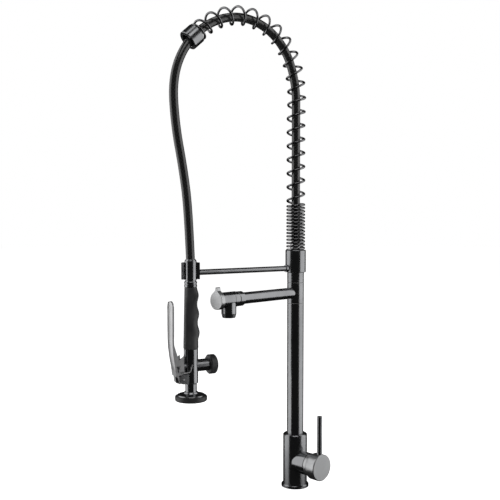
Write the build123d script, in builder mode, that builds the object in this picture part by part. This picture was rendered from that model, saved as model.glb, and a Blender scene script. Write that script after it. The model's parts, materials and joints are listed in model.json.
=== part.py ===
from build123d import *
import os
from math import cos, pi, radians, sin, sqrt, tan

os.makedirs("parts", exist_ok=True)

# A deck-mounted pre-rinse faucet. Z is up, the pot spout points to -Y and the mixer's lever is on +X.
# The origin is the centre of the base flange's underside. Sizes are in millimetres.

# Base and mixer
FLANGE_R = 27.25
FLANGE_H = 6.0
BODY_R = 24.0
BODY_WALL = 2.8
BODY_TOP = 106.6
CORE_R = 20.0
CORE_TOP = 98.0
INLET_R = 5.0
INLET_DEPTH = 14.0
STUD_R = 4.0
STUD_DEPTH = 18.0
MIXER_Z = 51.0
BARREL_R = 20.8
BARREL_END = 36.0
CARTRIDGE_R = 17.75
CARTRIDGE_START = -6.0
CARTRIDGE_END = 33.0
CARTRIDGE_BORE_R = 15.0
SLEEVE_R = 22.0
SLEEVE_END = 40.6
TILT_X = 27.1
DOME_R = 26.0
DOME_WALL = 1.4
CAP_GAP = 0.6
CAP_R = 26.0
CAP_FACE = 73.0
STEM_R = 5.0
STEM_GUIDE_R = 4.0
PIN_R = 5.25
PIN_X = 66.0
PIN_TOP = 152.0

# Column and its two swivels
COLUMN_R = 16.5
COLUMN_BORE_R = 14.0
COLUMN_TOP = 368.7
SPINDLE_R = 12.0
RING_BOTTOM = 369.55
RING_TOP = 409.85
WASHER = 0.8
SLEEVE_TOP = 430.0
RISER_R = 7.0
RUNNING = 0.05

# Pot spout, along -Y
SPOUT_Z = 389.3
SPOUT_R = 11.0
SPOUT_BORE_R = 8.5
SPOUT_END = 150.0
UNION_R = 13.9
UNION_START = 147.0
VALVE_START = 163.0
VALVE_END = 201.5
VALVE_R = 14.6
NOZZLE_REACH = 178.8
NOZZLE_R = 14.0
NOZZLE_BOTTOM = 356.0
KNOB_R = 16.5
KNOB_START = 202.0
KNOB_FACE = 210.5

# Spray arm: collar, rod, dock and spring, in a plane turned from the spout
ARM_HEADING = -105.0
COLLAR_R = 20.2
COLLAR_BOTTOM = 430.7
COLLAR_TOP = 474.5
ROD_Z = 438.4
ROD_R = 5.25
REACH = 229.0
CLIP_R = 17.4
CLIP_BORE_R = 11.6
CLIP_BOTTOM = 426.0
CLIP_TOP = 457.0
SPRING_R = 16.5
WIRE_R = 1.9
CLOSE_PITCH = 6.6
OPEN_PITCH = 27.5
SPRING_FOOT = 459.1
CLOSE_END = 566.0
FERRULE_R = 19.5
FERRULE_BORE_R = 12.2
FERRULE_LENGTH = 24.0
FERRULE_S = 215.0

# Hose: the corners of its route in the arm's plane, as (distance from the column, height)
HOSE_R = 8.3
HOSE_FOOT = 487.0
HOSE_END = 458.0
HOSE_BEND_START = 731.0
HOSE_ROUTE = [
    (0, HOSE_FOOT),
    (0, 796),
    (20, 861),
    (66, 906),
    (126, 922),
    (187, 905),
    (237, 862),
    (264, 798),
    (259, 712),
    (243, 630),
    (233, 555),
    (REACH, HOSE_END),
]

# Hand spray, about its own axis at the arm's reach
NECK_R = 11.25
NECK_TOP = 463.5
RING_R = 12.1
GRIP_TOP = 412.0
GRIP_BOTTOM = 296.0
GRIP_TOP_R = 11.6
GRIP_BOTTOM_R = 14.2
BUMP_HEIGHTS = (326, 361, 396)
BUMP = 2.4
HANDLE_R = 8.5
SPRAY_BODY_R = 13.55
SPRAY_BODY_BOTTOM = 231.0
OUTLET_R = 10.9
OUTLET_BOTTOM = 206.0
VALVE_Z = 263.0
VALVE_TUBE_R = 11.45
VALVE_TUBE_END = -38.0
CHAMBER_R = 8.5
BONNET_R = 18.5
BONNET_END = -50.0
PLUNGER_R = 3.5
PLUNGER_BOSS_END = 17.2
BELL_R = 30.2
PIVOT_U = 19.0
PIVOT_Z = 240.5
ROLLER_U = 24.5
ROLLER_R = 3.2
CLIP_WIRE_R = 1.2
CLIP_PIVOT_U = 23.0
CLIP_PIVOT_Z = 252.9

UP = Vector(0, 0, 1)
ARM_DIR = Vector(cos(radians(ARM_HEADING)), sin(radians(ARM_HEADING)), 0)
SPOUT_DIR = Vector(0, -1, 0)
SPRAY_AXIS_FOOT = ARM_DIR * REACH


def upright_section(foot, direction):
    """The vertical plane through a foot point, with x along a level direction and y up."""
    return Plane(origin=foot, x_dir=direction, z_dir=direction.cross(UP))


COLUMN = upright_section(Vector(0, 0, 0), Vector(1, 0, 0))
MIXER = upright_section(Vector(0, 0, MIXER_Z), Vector(1, 0, 0))
SPOUT = upright_section(Vector(0, 0, SPOUT_Z), SPOUT_DIR)
NOZZLE = upright_section(SPOUT_DIR * NOZZLE_REACH, SPOUT_DIR)
ARM = upright_section(Vector(0, 0, 0), ARM_DIR)
SPRAY = upright_section(SPRAY_AXIS_FOOT, ARM_DIR)
SPRAY_VALVE = upright_section(SPRAY_AXIS_FOOT + UP * VALVE_Z, ARM_DIR)


def in_section(section, across, height, aside=0.0):
    """A point from its coordinates in a section plane, and how far it is along the plane's normal."""
    return section.from_local_coords(Vector(across, height, aside))


def turned(section, outline, about_x=False, mode=Mode.ADD):
    """A turned piece from an outline in a section plane, about the plane's y axis or its x axis."""
    with BuildSketch(section) as profile:
        with BuildLine():
            Polyline(*outline, close=True)
        make_face()
    axis = Axis(section.origin, section.x_dir if about_x else section.y_dir)
    revolve(profile.sketch, axis=axis, mode=mode)


def ring(section, bottom, top, outer, inner=0.0, about_x=False, mode=Mode.ADD):
    """A ring or a disc between two places on the section's y axis, or on its x axis."""
    outline = [(inner, bottom), (outer, bottom), (outer, top), (inner, top)]
    if about_x:
        outline = [(along, radius) for radius, along in outline]
    turned(section, outline, about_x, mode)


def cross_pin(section, across, height, radius, half_length, mode=Mode.ADD):
    """A cylinder across a section plane, with its middle in the plane."""
    with BuildSketch(section) as profile:
        with Locations((across, height)):
            Circle(radius)
    extrude(profile.sketch, amount=half_length, both=True, mode=mode)


def upright_hole(section, across, bottom, top, radius, aside=0.0, mode=Mode.SUBTRACT):
    """An upright cylinder beside a section's y axis, taken out unless the mode says otherwise."""
    foot = in_section(section, across, bottom, aside)
    with BuildSketch(Plane(origin=foot, x_dir=section.x_dir, z_dir=section.y_dir)) as profile:
        Circle(radius)
    extrude(profile.sketch, amount=top - bottom, mode=mode)


def keep(builder, name):
    """Label a finished piece and write it."""
    builder.part.label = name
    export_step(builder.part, f"parts/{name}.step")


# ---------------------------------------------------------------- base

with BuildPart() as base_flange:
    turned(
        COLUMN,
        [
            (CORE_R + 0.2, 0),
            (22, 0),
            (22, 1.6),
            (25.6, 1.6),
            (25.6, 0),
            (FLANGE_R, 0),
            (FLANGE_R, FLANGE_H - 1.2),
            (FLANGE_R - 1.2, FLANGE_H),
            (CORE_R + 0.2, FLANGE_H),
        ],
    )
keep(base_flange, "base_flange")

with BuildPart() as base_gasket:
    ring(COLUMN, 0, 1.6, 25.6, 22)
keep(base_gasket, "base_gasket")

with BuildPart() as base_shell:
    turned(
        COLUMN,
        [
            (BODY_R - BODY_WALL, FLANGE_H),
            (BODY_R, FLANGE_H),
            (BODY_R, BODY_TOP - 1.4),
            (BODY_R - 1.4, BODY_TOP),
            (COLUMN_BORE_R, BODY_TOP),
            (COLUMN_BORE_R, BODY_TOP - 4.6),
            (BODY_R - BODY_WALL, BODY_TOP - 4.6),
        ],
    )
    ring(MIXER, 0, BODY_R + 2, BARREL_R + RUNNING, about_x=True, mode=Mode.SUBTRACT)
keep(base_shell, "base_shell")

with BuildPart() as waterway_core:
    ring(COLUMN, 0, CORE_TOP, CORE_R)
    ring(COLUMN, CORE_TOP, BODY_TOP + 20, COLUMN_BORE_R - RUNNING)
    ring(MIXER, 0, BARREL_END, BARREL_R, about_x=True)
    ring(MIXER, CARTRIDGE_START, BARREL_END, CARTRIDGE_R, about_x=True, mode=Mode.SUBTRACT)
    ring(MIXER, CARTRIDGE_END, BARREL_END, 18.6, about_x=True, mode=Mode.SUBTRACT)
    ring(COLUMN, CORE_TOP - 8, BODY_TOP + 20, RISER_R, mode=Mode.SUBTRACT)
    ring(COLUMN, 64, CORE_TOP, 5.0, mode=Mode.SUBTRACT)
    for side in (-8, 8):
        upright_hole(COLUMN, -8, 0, INLET_DEPTH, INLET_R, side)
        upright_hole(COLUMN, -8, INLET_DEPTH, 42, 3.0, side)
    upright_hole(COLUMN, 11, 0, STUD_DEPTH, STUD_R)
keep(waterway_core, "waterway_core")

# ---------------------------------------------------------------- mixer

with BuildPart() as mixer_sleeve:
    ring(MIXER, 12, SLEEVE_END, SLEEVE_R, BARREL_R + RUNNING, about_x=True)
    ring(COLUMN, 0, BODY_TOP, BODY_R, mode=Mode.SUBTRACT)
keep(mixer_sleeve, "mixer_sleeve")

with BuildPart() as cartridge_housing:
    outer = CARTRIDGE_R - RUNNING
    ring(MIXER, CARTRIDGE_START, CARTRIDGE_END, outer, about_x=True)
    ring(MIXER, -2, CARTRIDGE_END, CARTRIDGE_BORE_R, about_x=True, mode=Mode.SUBTRACT)
    with BuildSketch(Plane(origin=(CARTRIDGE_START, 0, MIXER_Z), z_dir=(1, 0, 0))) as ports:
        with PolarLocations(8, 3):
            Circle(2.5)
    extrude(ports.sketch, amount=5, mode=Mode.SUBTRACT)
keep(cartridge_housing, "cartridge_housing")

with BuildPart() as fixed_disc:
    ring(MIXER, -2, 3, CARTRIDGE_BORE_R - RUNNING, about_x=True)
    with BuildSketch(Plane(origin=(-2, 0, MIXER_Z), z_dir=(1, 0, 0))) as ports:
        with PolarLocations(8, 3):
            Circle(2.5)
    extrude(ports.sketch, amount=5, mode=Mode.SUBTRACT)
keep(fixed_disc, "fixed_disc")

with BuildPart() as moving_disc:
    turned(
        MIXER,
        [(3.05, 0), (3.05, 9.2), (14, 9.2), (14, 3.6), (9.4, 3.6), (9.4, 0)],
        about_x=True,
    )
keep(moving_disc, "moving_disc")

with BuildPart() as stem_carrier:
    ring(MIXER, 15, CARTRIDGE_END - 0.1, CARTRIDGE_BORE_R - RUNNING, about_x=True)
    with BuildSketch(Plane(origin=(15, 0, MIXER_Z), x_dir=(0, 1, 0), z_dir=(1, 0, 0))) as slot:
        with Locations((0, 1)):
            Rectangle(2 * STEM_GUIDE_R + 0.2, 18)
    extrude(slot.sketch, amount=18, mode=Mode.SUBTRACT)
    cross_pin(MIXER, TILT_X, 0, 1.5, CARTRIDGE_R, mode=Mode.SUBTRACT)
keep(stem_carrier, "stem_carrier")

with BuildPart() as stem_pivot_pin:
    cross_pin(MIXER, TILT_X, 0, 1.5, 12)
keep(stem_pivot_pin, "stem_pivot_pin")

with BuildPart() as cartridge_nut:
    turned(
        MIXER,
        [
            (CARTRIDGE_END, 12.5),
            (CARTRIDGE_END, 18.6),
            (BARREL_END, 18.6),
            (BARREL_END, 20.4),
            (40, 20.4),
            (40, 12.5),
        ],
        about_x=True,
    )
keep(cartridge_nut, "cartridge_nut")

DOME_OPENING = 36.0
DOME_SKIRT = 56.5


def on_sphere(radius, polar):
    """A point of the mixer's ball joint: along the barrel, and out from its axis."""
    return (TILT_X + radius * cos(radians(polar)), radius * sin(radians(polar)))


with BuildPart() as mixer_dome:
    mid = (DOME_OPENING + DOME_SKIRT) / 2
    inner = DOME_R - DOME_WALL
    with BuildSketch(MIXER) as profile:
        with BuildLine():
            ThreePointArc(*[on_sphere(DOME_R, a) for a in (DOME_OPENING, mid, DOME_SKIRT)])
            Line(on_sphere(DOME_R, DOME_SKIRT), on_sphere(inner, DOME_SKIRT))
            ThreePointArc(*[on_sphere(inner, a) for a in (DOME_SKIRT, mid, DOME_OPENING)])
            Line(on_sphere(inner, DOME_OPENING), on_sphere(DOME_R, DOME_OPENING))
        make_face()
    revolve(profile.sketch, axis=Axis(MIXER.origin, MIXER.x_dir))
keep(mixer_dome, "mixer_dome")

with BuildPart() as mixer_stem:
    turned(
        MIXER,
        [(13, 0), (13, 2.5), (17, 2.5), (17, STEM_GUIDE_R), (46, STEM_GUIDE_R), (46, STEM_R),
         (PIN_X, STEM_R), (PIN_X, 0)],
        about_x=True,
    )
    with Locations((13, 0, MIXER_Z)):
        Sphere(3)
    cross_pin(MIXER, TILT_X, 0, 1.5 + RUNNING, 8, mode=Mode.SUBTRACT)
keep(mixer_stem, "mixer_stem")

CAP_HOLLOW_R = DOME_R + CAP_GAP
CAP_REAR = TILT_X + sqrt(CAP_HOLLOW_R**2 - SLEEVE_R**2)

CAP_OUTLINE = [
    (CAP_REAR, SLEEVE_R),
    (CAP_REAR + 7, SLEEVE_R + 0.6),
    (CAP_REAR + 11, CAP_R),
    (CAP_FACE - 1.2, CAP_R),
    (CAP_FACE, CAP_R - 1.2),
    (CAP_FACE, 0),
    (PIN_X, 0),
    (PIN_X, STEM_R),
    (TILT_X + sqrt(CAP_HOLLOW_R**2 - STEM_R**2), STEM_R),
]

with BuildPart() as mixer_cap:
    with BuildSketch(MIXER) as profile:
        with BuildLine():
            Polyline(*CAP_OUTLINE)
            ThreePointArc(CAP_OUTLINE[-1], on_sphere(CAP_HOLLOW_R, 35), CAP_OUTLINE[0])
        make_face()
    revolve(profile.sketch, axis=Axis(MIXER.origin, MIXER.x_dir))
    upright_hole(COLUMN, PIN_X, MIXER_Z + 10, MIXER_Z + 30, PIN_R)
    upright_hole(COLUMN, PIN_X - 4, MIXER_Z - 30, MIXER_Z, 2)
keep(mixer_cap, "mixer_cap")

with BuildPart() as mixer_pin:
    upright_hole(COLUMN, PIN_X, MIXER_Z + 10, PIN_TOP, PIN_R, mode=Mode.ADD)
    fillet(mixer_pin.edges().filter_by(GeomType.CIRCLE).sort_by(Axis.Z)[-1], 1.2)
keep(mixer_pin, "mixer_pin")

with BuildPart() as mixer_set_screw:
    upright_hole(COLUMN, PIN_X - 4, MIXER_Z - 24, MIXER_Z - STEM_R, 2, mode=Mode.ADD)
keep(mixer_set_screw, "mixer_set_screw")

# ---------------------------------------------------------------- column

with BuildPart() as column_tube:
    ring(COLUMN, BODY_TOP, COLUMN_TOP, COLUMN_R, COLUMN_BORE_R)
keep(column_tube, "column_tube")

with BuildPart() as riser_pipe:
    ring(COLUMN, CORE_TOP - 8, 352, RISER_R, RISER_R - 1.5)
keep(riser_pipe, "riser_pipe")

ORING_HEIGHTS = (375.5, 403.5)
ORING_R = 0.8

with BuildPart() as swivel_spindle:
    turned(
        COLUMN,
        [
            (COLUMN_BORE_R - RUNNING, 340),
            (COLUMN_BORE_R - RUNNING, COLUMN_TOP),
            (SPINDLE_R, COLUMN_TOP),
            (SPINDLE_R, 456),
            (6.95, 456),
            (6.95, 474),
            (4.5, 474),
            (4.5, 352),
            (RISER_R, 352),
            (RISER_R, 340),
        ],
    )
    for height in ORING_HEIGHTS:
        ring(COLUMN, height - 0.9, height + 0.9, SPINDLE_R + 1, SPINDLE_R - 1.6, mode=Mode.SUBTRACT)
    cross_pin(COLUMN, 0, SPOUT_Z, 3, SPINDLE_R + 1, mode=Mode.SUBTRACT)
keep(swivel_spindle, "swivel_spindle")

with BuildPart() as swivel_orings:
    for height in ORING_HEIGHTS:
        with Locations((0, 0, height)):
            Torus(SPINDLE_R - ORING_R, ORING_R)
keep(swivel_orings, "swivel_orings")

with BuildPart() as swivel_washers:
    for bottom in (COLUMN_TOP, RING_TOP + RUNNING):
        ring(COLUMN, bottom, bottom + WASHER, COLUMN_R - 0.2, SPINDLE_R + RUNNING)
    ring(COLUMN, SLEEVE_TOP, SLEEVE_TOP + 0.6, COLUMN_R - 1, SPINDLE_R + RUNNING)
keep(swivel_washers, "swivel_washers")

with BuildPart() as upper_sleeve:
    ring(COLUMN, RING_TOP + RUNNING + WASHER, SLEEVE_TOP, COLUMN_R, SPINDLE_R + RUNNING)
keep(upper_sleeve, "upper_sleeve")

with BuildPart() as collar_nut:
    with BuildSketch(Plane.XY.offset(449.3)):
        RegularPolygon(15, 6)
        Circle(SPINDLE_R, mode=Mode.SUBTRACT)
    extrude(amount=6.7)
keep(collar_nut, "collar_nut")

# ---------------------------------------------------------------- pot spout

with BuildPart() as swivel_ring:
    ring(COLUMN, RING_BOTTOM, RING_TOP, COLUMN_R, SPINDLE_R + RUNNING)
    ring(COLUMN, SPOUT_Z - 6, SPOUT_Z + 6, 14, mode=Mode.SUBTRACT)
    ring(SPOUT, 8, COLUMN_R + 2, SPOUT_BORE_R, about_x=True, mode=Mode.SUBTRACT)
keep(swivel_ring, "swivel_ring")

with BuildPart() as spout_tube:
    ring(SPOUT, 8, SPOUT_END, SPOUT_R, SPOUT_BORE_R, about_x=True)
    ring(COLUMN, SPOUT_Z - 20, SPOUT_Z + 20, COLUMN_R, mode=Mode.SUBTRACT)
keep(spout_tube, "spout_tube")

with BuildPart() as spout_union:
    turned(
        SPOUT,
        [
            (UNION_START, SPOUT_R + 0.02),
            (UNION_START, UNION_R - 1),
            (UNION_START + 1, UNION_R),
            (VALVE_START - 4, UNION_R),
            (VALVE_START - 3, UNION_R - 0.8),
            (VALVE_START, UNION_R - 0.8),
            (VALVE_START, SPOUT_BORE_R),
            (SPOUT_END, SPOUT_BORE_R),
            (SPOUT_END, SPOUT_R + 0.02),
        ],
        about_x=True,
    )
keep(spout_union, "spout_union")

with BuildPart() as pot_valve_body:
    turned(
        SPOUT,
        [
            (VALVE_START, 0),
            (VALVE_START, VALVE_R - 0.6),
            (VALVE_START + 0.6, VALVE_R),
            (VALVE_START + 9.4, VALVE_R),
            (VALVE_START + 9.8, VALVE_R - 0.4),
            (VALVE_START + 10.6, VALVE_R - 0.4),
            (VALVE_START + 11, VALVE_R),
            (VALVE_END - 0.6, VALVE_R),
            (VALVE_END, VALVE_R - 0.6),
            (VALVE_END, 0),
        ],
        about_x=True,
    )
    ring(SPOUT, VALVE_START, 186, SPOUT_BORE_R, about_x=True, mode=Mode.SUBTRACT)
    ring(SPOUT, 186, VALVE_END, 11, about_x=True, mode=Mode.SUBTRACT)
    ring(NOZZLE, SPOUT_Z - VALVE_R - 2, SPOUT_Z, 8, mode=Mode.SUBTRACT)
keep(pot_valve_body, "pot_valve_body")

with BuildPart() as pot_nozzle:
    turned(
        NOZZLE,
        [
            (9, NOZZLE_BOTTOM),
            (NOZZLE_R - 2.4, NOZZLE_BOTTOM),
            (NOZZLE_R - 1.8, NOZZLE_BOTTOM + 0.6),
            (NOZZLE_R, NOZZLE_BOTTOM + 8),
            (NOZZLE_R, SPOUT_Z),
            (9, SPOUT_Z),
        ],
    )
    ring(SPOUT, VALVE_START - 5, VALVE_END, VALVE_R, about_x=True, mode=Mode.SUBTRACT)
keep(pot_nozzle, "pot_nozzle")

with BuildPart() as aerator:
    ring(NOZZLE, NOZZLE_BOTTOM + 1, NOZZLE_BOTTOM + 15, 9 - RUNNING)
    ring(NOZZLE, NOZZLE_BOTTOM + 4, NOZZLE_BOTTOM + 15, 7.5, mode=Mode.SUBTRACT)
    with BuildSketch(Plane(in_section(NOZZLE, 0, NOZZLE_BOTTOM))) as cells:
        with HexLocations(1.5, 5, 5):
            Circle(0.9)
    extrude(cells.sketch, amount=6, mode=Mode.SUBTRACT)
keep(aerator, "aerator")

with BuildPart() as shutoff_headpart:
    ring(SPOUT, 186, VALVE_END, 11 - 0.02, 4 + RUNNING, about_x=True)
    ring(SPOUT, 188, 192, 9, about_x=True, mode=Mode.SUBTRACT)
keep(shutoff_headpart, "shutoff_headpart")

with BuildPart() as shutoff_disc:
    ring(SPOUT, 188.1, 191.9, 9 - RUNNING, 4, about_x=True)
    upright_hole(SPOUT, 190, 5, 10, 2.2)
    upright_hole(SPOUT, 190, -10, -5, 2.2)
keep(shutoff_disc, "shutoff_disc")

with BuildPart() as pot_stem:
    ring(SPOUT, 187, KNOB_FACE - 3, 4, about_x=True)
keep(pot_stem, "pot_stem")

with BuildPart() as pot_knob:
    knob_back = Plane(
        origin=in_section(SPOUT, KNOB_START, 0), x_dir=(1, 0, 0), z_dir=SPOUT_DIR
    )
    with BuildSketch(knob_back) as face:
        Circle(KNOB_R)
        with BuildLine():
            Polyline((-10, 13.1), (-3.4, 18.6), (-2.8, 22.6), (2.8, 22.6), (3.4, 18.6), (10, 13.1),
                     close=True)
        make_face()
        with Locations((0, 22.2)):
            Circle(2.8)
    extrude(face.sketch, amount=KNOB_FACE - KNOB_START)
    chamfer(pot_knob.faces().sort_by(Axis.Y)[0].edges(), 0.5)
    ring(SPOUT, KNOB_START, KNOB_FACE - 3, 4, about_x=True, mode=Mode.SUBTRACT)
keep(pot_knob, "pot_knob")

# ---------------------------------------------------------------- spray arm

with BuildPart() as spring_collar:
    turned(
        COLUMN,
        [
            (SPINDLE_R + RUNNING, COLLAR_BOTTOM),
            (COLLAR_R - 0.8, COLLAR_BOTTOM),
            (COLLAR_R, COLLAR_BOTTOM + 0.8),
            (COLLAR_R, COLLAR_TOP - 0.8),
            (COLLAR_R - 0.8, COLLAR_TOP),
            (18.7, COLLAR_TOP),
            (18.7, SPRING_FOOT - WIRE_R - 0.1),
            (15.8, SPRING_FOOT - WIRE_R - 0.1),
            (15.8, 449),
            (SPINDLE_R + RUNNING, 449),
        ],
    )
    with BuildSketch(Plane(origin=in_section(ARM, 13.5, ROD_Z), z_dir=ARM_DIR)) as socket:
        Circle(ROD_R)
    extrude(socket.sketch, amount=COLLAR_R, mode=Mode.SUBTRACT)
    upright_hole(ARM, 17, COLLAR_BOTTOM, ROD_Z, 1.6)
keep(spring_collar, "spring_collar")

with BuildPart() as rod_socket:
    with BuildSketch(Plane(origin=in_section(ARM, 16, ROD_Z), z_dir=ARM_DIR)) as washer:
        Circle(7.2)
        Circle(ROD_R, mode=Mode.SUBTRACT)
    extrude(washer.sketch, amount=7.6)
    ring(COLUMN, COLLAR_BOTTOM, COLLAR_TOP, COLLAR_R, mode=Mode.SUBTRACT)
keep(rod_socket, "rod_socket")

with BuildPart() as support_rod:
    with BuildSketch(Plane(origin=in_section(ARM, 13.5, ROD_Z), z_dir=ARM_DIR)) as section:
        Circle(ROD_R)
    extrude(section.sketch, amount=REACH - 27)
keep(support_rod, "support_rod")

CLIP_OPENS_AT = 75.0
CLIP_OPENING = 150.0

with BuildPart() as dock_clip:
    clip_plane = Plane(origin=SPRAY_AXIS_FOOT + UP * CLIP_BOTTOM, x_dir=ARM_DIR, z_dir=UP)
    with BuildSketch(clip_plane) as c_shape:
        Circle(CLIP_R)
        Circle(CLIP_BORE_R, mode=Mode.SUBTRACT)
        with BuildLine():
            mouth = [CLIP_OPENS_AT - CLIP_OPENING / 2, CLIP_OPENS_AT, CLIP_OPENS_AT + CLIP_OPENING / 2]
            reach = 2 * CLIP_R / cos(radians(CLIP_OPENING / 4))
            corners = [(reach * cos(radians(a)), reach * sin(radians(a))) for a in mouth]
            Polyline((0, 0), *corners, close=True)
        make_face(mode=Mode.SUBTRACT)
    extrude(c_shape.sketch, amount=CLIP_TOP - CLIP_BOTTOM)
    with BuildSketch(Plane(origin=in_section(SPRAY, -22, ROD_Z), z_dir=ARM_DIR)) as socket:
        Circle(ROD_R)
    extrude(socket.sketch, amount=8.5, mode=Mode.SUBTRACT)
    upright_hole(SPRAY, -15.5, CLIP_BOTTOM, ROD_Z, 1.6)
keep(dock_clip, "dock_clip")

with BuildPart() as rod_set_screws:
    upright_hole(ARM, 17, COLLAR_BOTTOM, ROD_Z - ROD_R, 1.6, mode=Mode.ADD)
    upright_hole(SPRAY, -15.5, CLIP_BOTTOM, ROD_Z - ROD_R, 1.6, mode=Mode.ADD)
keep(rod_set_screws, "rod_set_screws")

with BuildPart() as hose_coupling:
    turned(
        COLUMN,
        [
            (7.0, 456.8),
            (11.6, 456.8),
            (12, 457.2),
            (12, 472),
            (10.5, 473.5),
            (10.5, HOSE_FOOT),
            (4.5, HOSE_FOOT),
            (4.5, 475),
            (7.0, 475),
        ],
    )
keep(hose_coupling, "hose_coupling")


def corner_radii(route):
    """The largest tangent arc at each inner corner of a route, 0.45 of the shorter run beside it."""
    radii = []
    for before, corner, after in zip(route, route[1:], route[2:]):
        first = Vector(*corner) - Vector(*before)
        second = Vector(*after) - Vector(*corner)
        half_turn = radians(first.get_angle(second)) / 2
        radii.append(0.45 * min(first.length, second.length) / tan(half_turn))
    return radii


HOSE_RADII = corner_radii(HOSE_ROUTE)
print("hose corner radii", [round(radius) for radius in HOSE_RADII])

with BuildLine(ARM) as hose_path:
    FilletPolyline(*HOSE_ROUTE, radius=HOSE_RADII)
HOSE_LINE = hose_path.wires()[0]
print("hose length", round(HOSE_LINE.length))

with BuildPart() as spray_hose:
    with BuildSketch(Plane(origin=HOSE_LINE @ 0, z_dir=HOSE_LINE % 0)) as section:
        Circle(HOSE_R)
    sweep(section.sketch, path=HOSE_LINE)
keep(spray_hose, "spray_hose")


def length_at_reach(reach):
    """How far along the hose its falling side first passes a distance from the column."""
    low, high = 0.3 * HOSE_LINE.length, 0.6 * HOSE_LINE.length
    for _ in range(40):
        middle = (low + high) / 2
        if ARM.to_local_coords(HOSE_LINE @ (middle / HOSE_LINE.length)).X < reach:
            low = middle
        else:
            high = middle
    return low


FERRULE_START = length_at_reach(FERRULE_S)

with BuildPart() as spring_ferrule:
    place = FERRULE_START / HOSE_LINE.length
    with BuildSketch(Plane(origin=HOSE_LINE @ place, z_dir=HOSE_LINE % place)) as section:
        Circle(FERRULE_R)
        Circle(FERRULE_BORE_R, mode=Mode.SUBTRACT)
    extrude(section.sketch, amount=FERRULE_LENGTH)
    chamfer(spring_ferrule.edges().filter_by(GeomType.CIRCLE), 0.7)
keep(spring_ferrule, "spring_ferrule")

SPRING_START = SPRING_FOOT - HOSE_FOOT
CLOSE_LENGTH = CLOSE_END - HOSE_FOOT
SPRING_FINISH = FERRULE_START - WIRE_R - 0.3
END_TURN = 8.0
CLOSE_TURNS = (CLOSE_LENGTH - SPRING_START) / CLOSE_PITCH
OPEN_TURNS = (SPRING_FINISH - END_TURN - CLOSE_LENGTH) / OPEN_PITCH
ALL_TURNS = CLOSE_TURNS + OPEN_TURNS + 1
POINTS_PER_TURN = 12
SPRING_LIFT = 4.5
BEND_START = HOSE_BEND_START - HOSE_FOOT


def spring_lift_at(length):
    """How far the spring stands off the hose's middle, outwards, where the hose sags in it on the arch."""
    share = (length - BEND_START) / (SPRING_FINISH - BEND_START)
    return SPRING_LIFT * sin(pi * min(max(share, 0), 1))


def spring_length_at(turn):
    """How far along the hose the wire is after a number of turns: close coils, open coils, end coil."""
    if turn <= CLOSE_TURNS:
        return SPRING_START + turn * CLOSE_PITCH
    if turn <= CLOSE_TURNS + OPEN_TURNS:
        return CLOSE_LENGTH + (turn - CLOSE_TURNS) * OPEN_PITCH
    return SPRING_FINISH - END_TURN * (ALL_TURNS - turn)


def wire_point(turn):
    """A point of the spring's wire, wound to the right about the hose."""
    length = spring_length_at(turn)
    place = max(length, 0) / HOSE_LINE.length
    along = HOSE_LINE % place
    centre = HOSE_LINE @ place + along * min(length, 0)
    outward = ARM.z_dir.cross(along)
    middle = centre + outward * spring_lift_at(length)
    angle = radians(360 * turn)
    return middle + (outward * cos(angle) + ARM.z_dir * sin(angle)) * SPRING_R


def wire_direction(turn):
    """The wire's direction at a place, from two points close beside it."""
    return (wire_point(turn + 0.01) - wire_point(turn - 0.01)).normalized()


def spring_spans():
    """The turns at which one length of the wire ends and the next starts."""
    close = [CLOSE_TURNS * i / 4 for i in range(4)]
    opened = [CLOSE_TURNS + (OPEN_TURNS + 1) * i / 12 for i in range(13)]
    return close + opened


def wire_span(start, end):
    """One length of the spring's wire."""
    steps = max(4, round((end - start) * POINTS_PER_TURN))
    turns = [start + (end - start) * i / steps for i in range(steps + 1)]
    with BuildPart() as span:
        with BuildLine() as wire:
            Spline(*[wire_point(turn) for turn in turns])
        with BuildSketch(Plane(origin=wire_point(start), z_dir=wire_direction(start))) as section:
            Circle(WIRE_R)
        sweep(section.sketch, path=wire.wires()[0], clean=False)
    return span.part


SPANS = spring_spans()
hose_spring = Compound(children=[wire_span(*ends) for ends in zip(SPANS, SPANS[1:])])
hose_spring.label = "hose_spring"
export_step(hose_spring, "parts/hose_spring.step")

# ---------------------------------------------------------------- hand spray

with BuildPart() as neck_sleeve:
    turned(
        SPRAY,
        [
            (5, 404),
            (6.95, 404),
            (6.95, 424),
            (NECK_R - 0.5, 424),
            (NECK_R, 424.5),
            (NECK_R, NECK_TOP - 3),
            (NECK_R - 2, NECK_TOP),
            (HOSE_R + 0.4, NECK_TOP),
            (HOSE_R + 0.4, HOSE_END - 0.4),
            (5, HOSE_END - 0.4),
        ],
    )
keep(neck_sleeve, "neck_sleeve")

with BuildPart() as grip_ring:
    turned(
        SPRAY,
        [
            (6.95, GRIP_TOP),
            (RING_R, GRIP_TOP),
            (RING_R, 416),
            (RING_R - 0.9, 416.5),
            (RING_R - 0.9, 418),
            (RING_R, 418.5),
            (RING_R, 421.3),
            (RING_R - 0.7, 422),
            (10.2, 422),
            (10.2, 424),
            (6.95, 424),
        ],
    )
keep(grip_ring, "grip_ring")

with BuildPart() as handle_tube:
    ring(SPRAY, 284, GRIP_TOP, HANDLE_R, 7)
keep(handle_tube, "handle_tube")

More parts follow.
